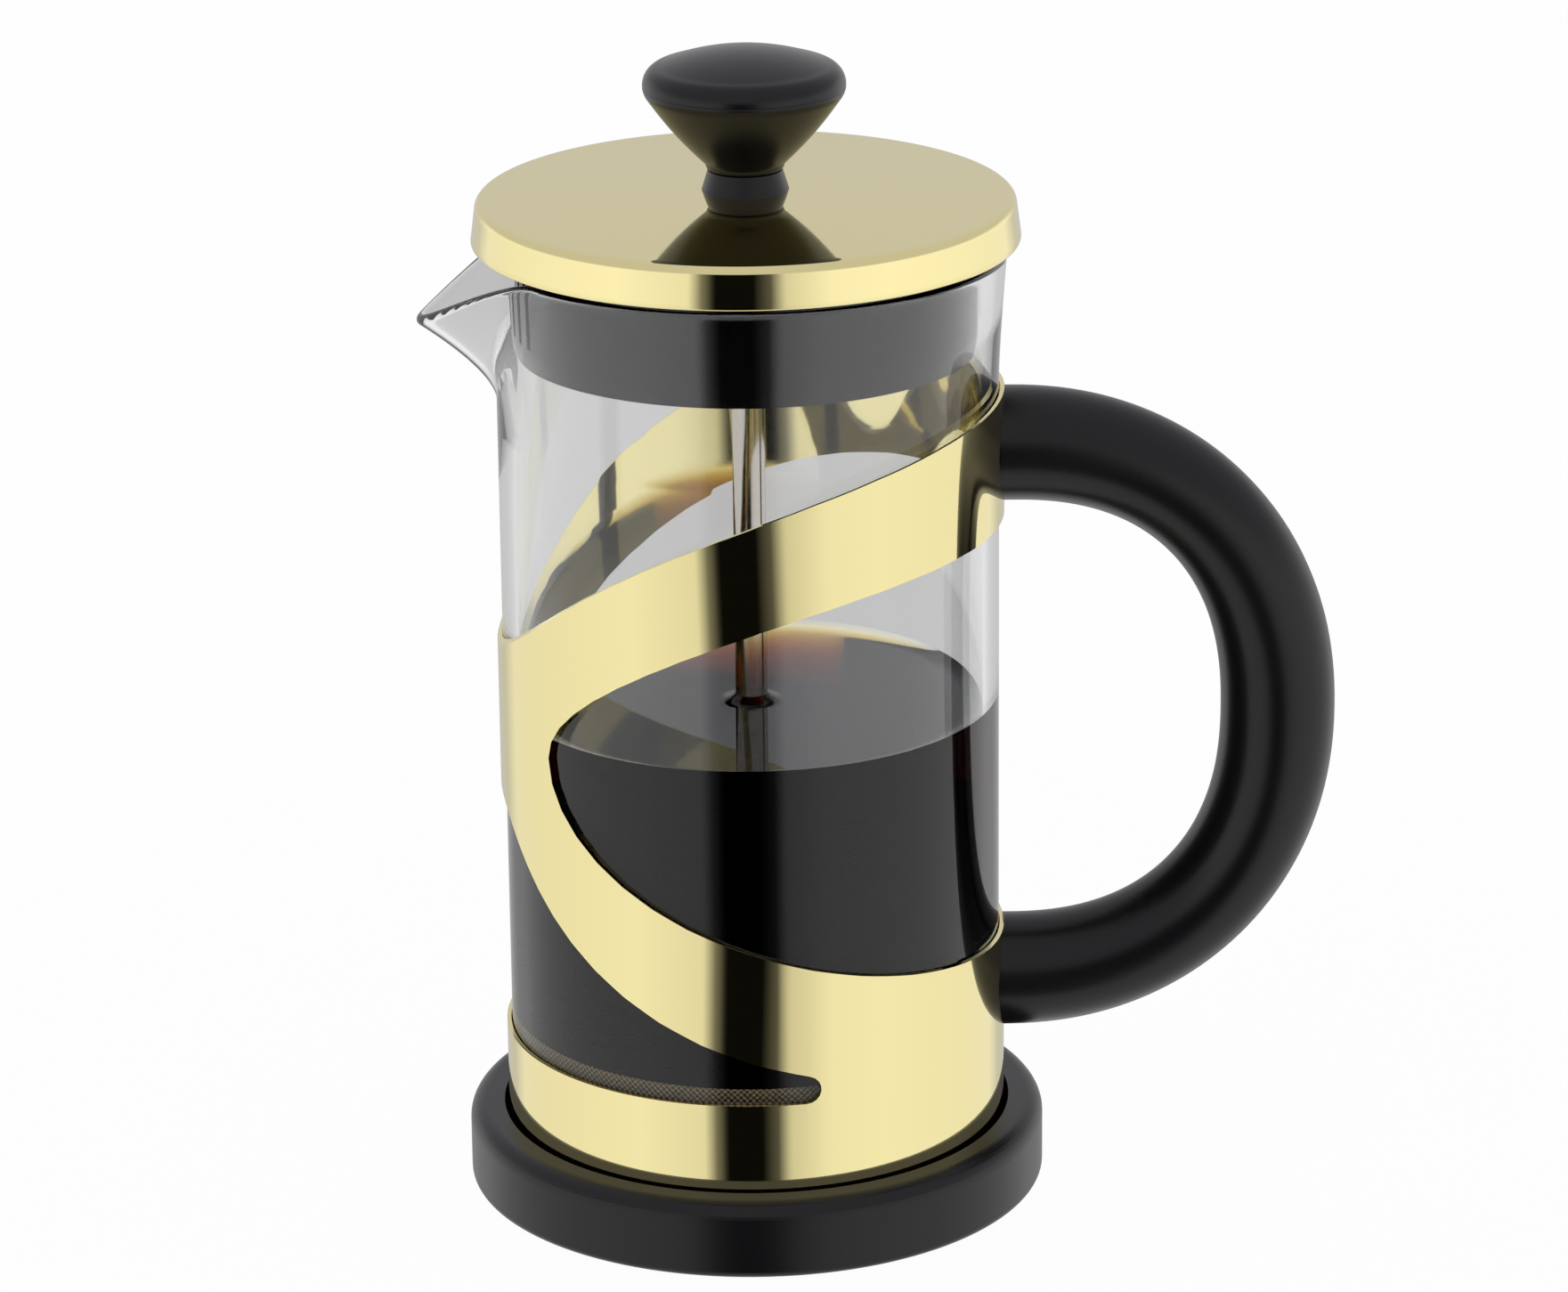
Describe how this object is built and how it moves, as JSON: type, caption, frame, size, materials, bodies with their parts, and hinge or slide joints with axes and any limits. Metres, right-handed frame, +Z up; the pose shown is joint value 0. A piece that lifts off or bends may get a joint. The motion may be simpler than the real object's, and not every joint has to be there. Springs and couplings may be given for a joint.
{
  "type": "french press",
  "caption": "Glass french press in a pierced gold-coloured metal frame with a black base, D-shaped handle, lid and plunger with a fine mesh filter.",
  "frame": {"origin": "on the table, on the axis of the beaker, at the middle of the pad's underside", "axes": "+Z up, +X towards the handle, -X towards the spout"},
  "size_m": [0.1338, 0.086, 0.1729],
  "materials": {
    "black_plastic": "matt black moulded plastic",
    "gold_steel": "polished sheet steel with a gold-coloured plating",
    "glass": "clear borosilicate glass, fire-polished rim",
    "stainless": "polished stainless steel",
    "mesh": "fine woven stainless steel mesh",
    "brass": "turned brass",
    "soft_pad": "soft matt rubber"
  },
  "bodies": {
    "stand": {"grip_pad": "soft_pad", "base": "black_plastic", "base_screws": "stainless", "frame": "gold_steel", "handle": "black_plastic", "upper_handle_screw": "stainless", "lower_handle_screw": "stainless", "upper_handle_insert": "brass", "lower_handle_insert": "brass"},
    "beaker": {"glass_beaker": "glass"},
    "lid_carrier": {"lid_collar": "black_plastic", "lid_nut": "stainless"},
    "lid": {"lid_shell": "gold_steel", "lid_liner": "black_plastic"},
    "plunger": {"plunger_rod": "stainless", "knob": "black_plastic", "knob_insert": "brass", "spiral_plate": "stainless", "coil_spring": "stainless", "filter_mesh": "mesh", "cross_plate": "stainless", "hub_nut": "stainless"}
  },
  "joints": [
    {"name": "beaker_lift", "type": "slide", "parent": "stand", "child": "beaker", "axis": [0, 0, 1], "range_m": [0, 0.125]},
    {"name": "lid_lift", "type": "slide", "parent": "beaker", "child": "lid_carrier", "axis": [0, 0, 1], "range_m": [0, 0.135]},
    {"name": "lid_turn", "type": "hinge", "parent": "lid_carrier", "child": "lid", "pos_m": [0, 0, 0.15], "axis": [0, 0, 1], "continuous": true},
    {"name": "plunger_slide", "type": "slide", "parent": "lid_carrier", "child": "plunger", "axis": [0, 0, 1], "range_m": [0, 0.102]}
  ]
}
